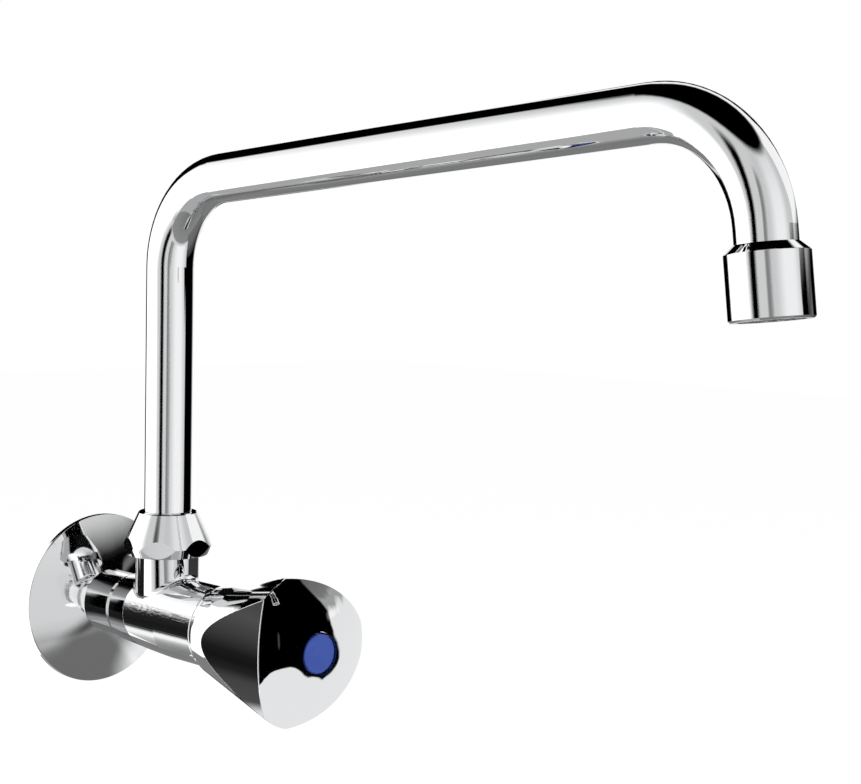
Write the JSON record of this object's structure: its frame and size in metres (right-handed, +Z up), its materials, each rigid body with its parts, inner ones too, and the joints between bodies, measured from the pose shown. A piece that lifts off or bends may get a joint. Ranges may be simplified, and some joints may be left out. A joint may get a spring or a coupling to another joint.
{
  "type": "wall tap",
  "caption": "Wall-mounted cold-water sink tap with a swivelling high bent spout, a conical cap nut, a faceted turning handle on the body's front end and a screw-on aerator.",
  "frame": {"origin": "on the wall plane, on the axis of the horizontal body and its threaded inlet tail", "axes": "+Y into the wall along the inlet tail, -Y out into the room along the body to the handle, +Z up along the spout riser, +X along the wall to the right of someone facing it"},
  "size_m": [0.0676, 0.3385, 0.2257],
  "materials": {
    "chrome": "polished plating",
    "brass": "turned, unplated",
    "rubber": "matte",
    "white_plastic": "moulded",
    "grey_plastic": "moulded",
    "steel": "plain stainless",
    "blue_index": "glossy"
  },
  "bodies": {
    "tap": {"body": "chrome", "rosette": "chrome", "rosette_seal": "rubber", "bonnet": "brass", "bonnet_gasket": "rubber", "slide_ring_lower": "white_plastic", "slide_ring_upper": "white_plastic", "spout_nut": "chrome"},
    "spout": {"spout_tube": "chrome", "spout_nipple": "brass", "spout_o_ring_lower": "rubber", "spout_o_ring_upper": "rubber", "spout_end": "chrome", "aerator_shell": "chrome", "aerator_washer": "rubber", "aerator_cartridge": "grey_plastic", "aerator_inlet_screen": "steel", "aerator_jet_plate": "grey_plastic", "aerator_outlet_screen": "steel"},
    "knob": {"handle": "chrome", "spline_bush": "white_plastic", "handle_screw": "steel", "index_button": "blue_index", "spindle": "brass", "spindle_o_ring_inner": "rubber", "spindle_o_ring_outer": "rubber", "circlip": "steel"},
    "valve": {"valve_carrier": "brass", "valve_washer": "rubber", "washer_screw": "brass"}
  },
  "joints": [
    {"name": "spout_swivel", "type": "hinge", "parent": "tap", "child": "spout", "pos_m": [0, -0.0451, 0.035], "axis": [0, 0, 1], "range_deg": [-95, 95]},
    {"name": "handle_turn", "type": "hinge", "parent": "tap", "child": "knob", "pos_m": [0, -0.1, 0], "axis": [0, -1, 0], "range_deg": [0, 900]},
    {"name": "valve_lift", "type": "slide", "parent": "tap", "child": "valve", "axis": [0, -1, 0], "range_m": [0, 0.0051]}
  ],
  "couplings": [
    {"joint": "valve_lift", "follows": "handle_turn", "m_per_rad": 0.00031831}
  ]
}
